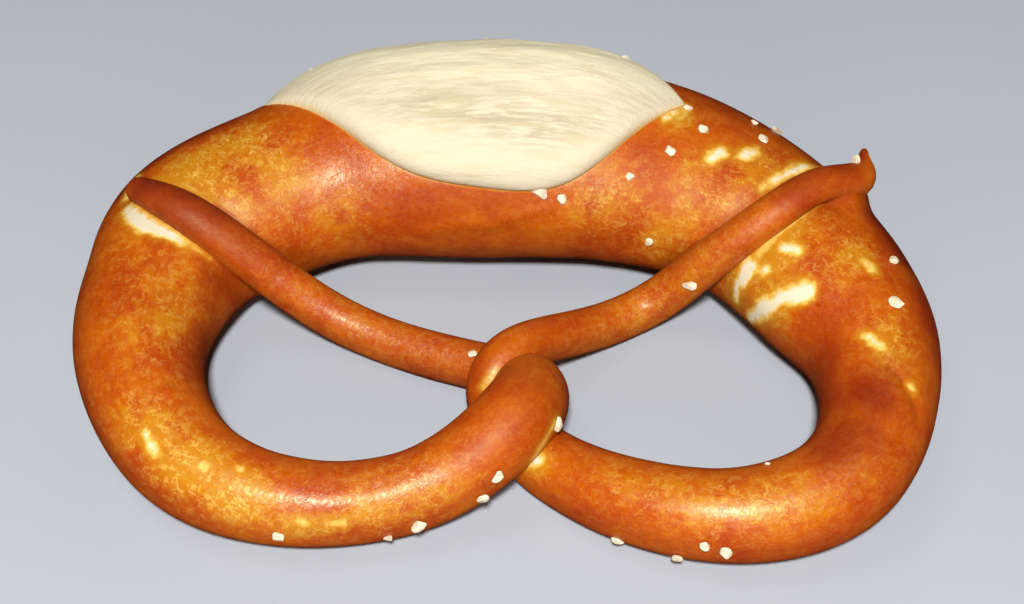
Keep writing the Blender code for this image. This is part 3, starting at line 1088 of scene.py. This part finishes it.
# %% Places of the grains
# Travel in mm, degrees round the rope, and the length in mm before cutting, which takes some off.
GRAINS = (
    (310, -62, 3.8), (315, -65, 2.8),  # below the split
    (332, -46, 2.2), (342, -86, 2.4), (339, -24, 3.0), (338, 11, 2.4), (343, -1, 3.0),  # right of it
    (353, 18, 3.0), (349, 33, 2.2), (352, 47, 3.0),  # on the right shoulder
    (610, 34, 2.8), (387, 30, 2.8), (396, 14, 3.6), (564, -76, 3.2),  # round the right arm
    (80, -19, 2.2), (107, 81, 3.4), (118, 78, 2.8), (122, 97, 3.0),  # at the knot
    (133, 92, 3.6), (138, 104, 2.2), (155, 90, 2.8),  # left loop
    (470, 112, 2.8), (460, 111, 3.2), (456, 80, 2.4), (453, 88, 3.2), (444, -32, 1.2),  # right loop
    (300, 92, 3.0), (322, 84, 2.6), (270, 96, 3.2), (284, 110, 2.4), (342, 104, 2.8),  # on the back
    (365, 98, 2.4),
)
# Share of the split's half length, share of the way across, and length before cutting in mm.
BITS_ON_CRUMB = ((-0.76, 0.8, 1.6), (-0.64, 0.84, 1.8), (0.05, 0.88, 1.6), (0.69, 0.85, 2.0))
print("salt:", len(GRAINS), "grains on the crust,", len(BITS_ON_CRUMB), "on the crumb")

# %% One grain
CUTS = 7
CUT_DISTANCE = (0.26, 0.4)  # of a ball one across
BLUNTING = 0.03
BREADTH_SHARE = (0.66, 0.86)
HEIGHT_SHARE = (0.4, 0.5)
ANY_TURN = (0, 6.28)  # radians
chance = random.Random(7)


def cut_ball():
    """A ball one across, cut by planes in random directions and blunted."""
    ball = bmesh.new()
    bmesh.ops.create_icosphere(ball, subdivisions=2, radius=0.5)
    for _ in range(CUTS):
        way = Vector((chance.gauss(0, 1), chance.gauss(0, 1), chance.gauss(0, 1))).normalized()
        cut = bmesh.ops.bisect_plane(
            ball,
            geom=ball.verts[:] + ball.edges[:] + ball.faces[:],
            plane_co=way * chance.uniform(*CUT_DISTANCE),
            plane_no=way,
            clear_outer=True,
        )
        rim = [edge for edge in cut["geom_cut"] if isinstance(edge, bmesh.types.BMEdge)]
        bmesh.ops.edgenet_fill(ball, edges=rim)
    bmesh.ops.remove_doubles(ball, verts=ball.verts, dist=BLUNTING)
    bmesh.ops.recalc_face_normals(ball, faces=ball.faces)
    return ball


def add_grain(into, centre, way_out, length):
    """One blunt crystal, lying with its flat side on the skin."""
    ball = cut_ball()
    breadth = length * chance.uniform(*BREADTH_SHARE)
    height = length * chance.uniform(*HEIGHT_SHARE)
    sizes = Matrix.Diagonal((Vector((length, breadth, height)) * MM).to_4d())
    flat_side_down = way_out.to_track_quat("Z", "Y").to_matrix().to_4x4()
    turned = flat_side_down @ Matrix.Rotation(chance.uniform(*ANY_TURN), 4, "Z")
    bmesh.ops.transform(ball, matrix=Matrix.Translation(centre) @ turned @ sizes, verts=ball.verts)
    data = bpy.data.meshes.new("grain")
    ball.to_mesh(data)
    ball.free()
    into.from_mesh(data)
    bpy.data.meshes.remove(data)


# %% All grains
CENTRE_ABOVE = 0.12  # of a grain's length, which leaves it pressed in by about as much


def on_skin(t, radians):
    """A point on the dough, and the way out from there."""
    near, far = (skin(np.array([float(t)]), np.array([radians]), out)[0] for out in (0, 1))
    return Vector(near), Vector(far - near).normalized()


grains = bmesh.new()
for t, degrees, length in GRAINS:
    spot, way_out = on_skin(t, math.radians(degrees))
    add_grain(grains, spot + way_out * length * CENTRE_ABOVE * MM, way_out, length)
for at_u, at_across, length in BITS_ON_CRUMB:
    nearest = np.argmin(np.hypot(u - at_u, across - at_across) + ~above)
    _, way_out = on_skin(crumb_travel[nearest], crumb_angle[nearest])
    add_grain(grains, Vector(crumb_points[nearest]), way_out, length)
salt_data = bpy.data.meshes.new("salt")
grains.to_mesh(salt_data)
grains.free()
salt = stand("salt", salt_data)
print("salt:", len(salt_data.polygons), "faces")

# %% Salt finish
# Milky crystals let some light in and give it back.
salt_finish = Finish("coarse salt", seen(186, 170, 142))
salt_finish.paint(seen(206, 192, 166), salt_finish.grain(1.2, 4).between(0.35, 0.65))
salt_finish.put_on(
    salt,
    Roughness=0.45,
    Normal=salt_finish.relief(salt_finish.grain(0.5, 3), 0.08),
    Subsurface_Weight=0.15,
    Subsurface_Scale=1.0 * MM,
)
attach(salt, "root")
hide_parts("pretzel")

# %% [markdown]
# ## Sizes
# The dressed pretzel must be as large as its solid, so both boxes are printed.

# %% Write the sizes
dressed_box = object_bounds()
for name, box in (("solid", cad_box), ("dressed", dressed_box)):
    print(name, [round((high - low) / MM, 1) for low, high in zip(*box)])
